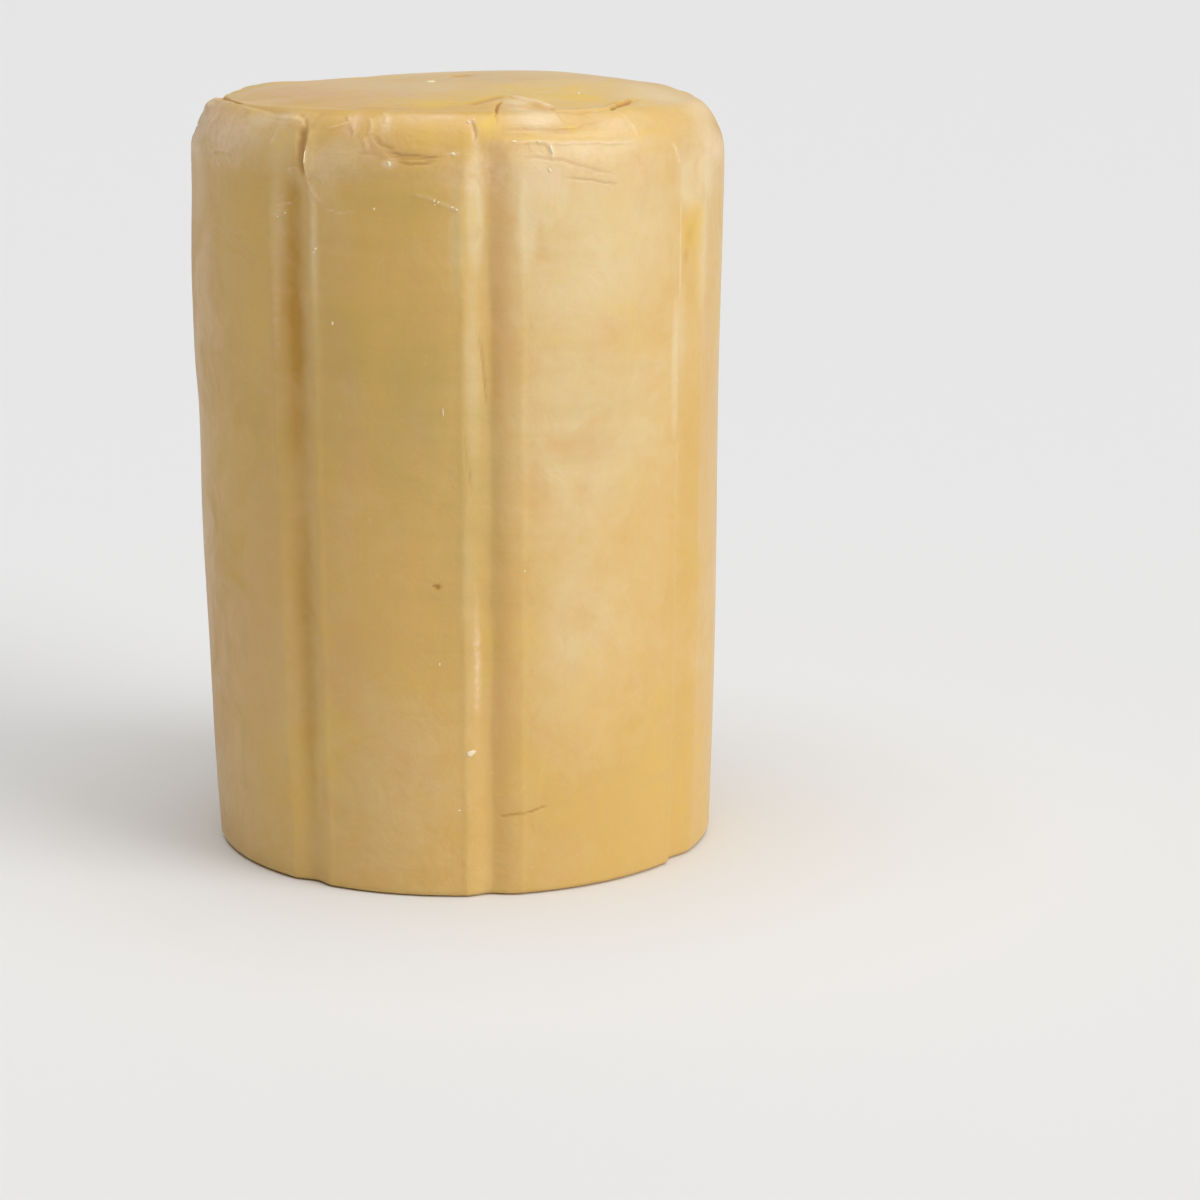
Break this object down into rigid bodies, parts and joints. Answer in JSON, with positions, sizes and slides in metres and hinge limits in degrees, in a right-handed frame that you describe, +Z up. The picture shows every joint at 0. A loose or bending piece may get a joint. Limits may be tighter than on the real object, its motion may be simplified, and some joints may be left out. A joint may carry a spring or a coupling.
{
  "type": "provolone cheese",
  "caption": "Tall whole cheese: a moulded cylinder with a rounded shoulder, a low domed top with folded skin and shallow upright mould grooves, standing on its flat foot",
  "frame": {"origin": "centre of the flat foot, on the surface the cheese stands on", "axes": "+Z points up along the cheese, -Y faces the front shown in the picture, +X is to the right seen from the front"},
  "size_m": [0.251, 0.2498, 0.365],
  "materials": {
    "rind": "smooth waxy cheese skin, straw yellow, softly shiny"
  },
  "bodies": {
    "root": {"cheese": "rind"}
  },
  "joints": []
}
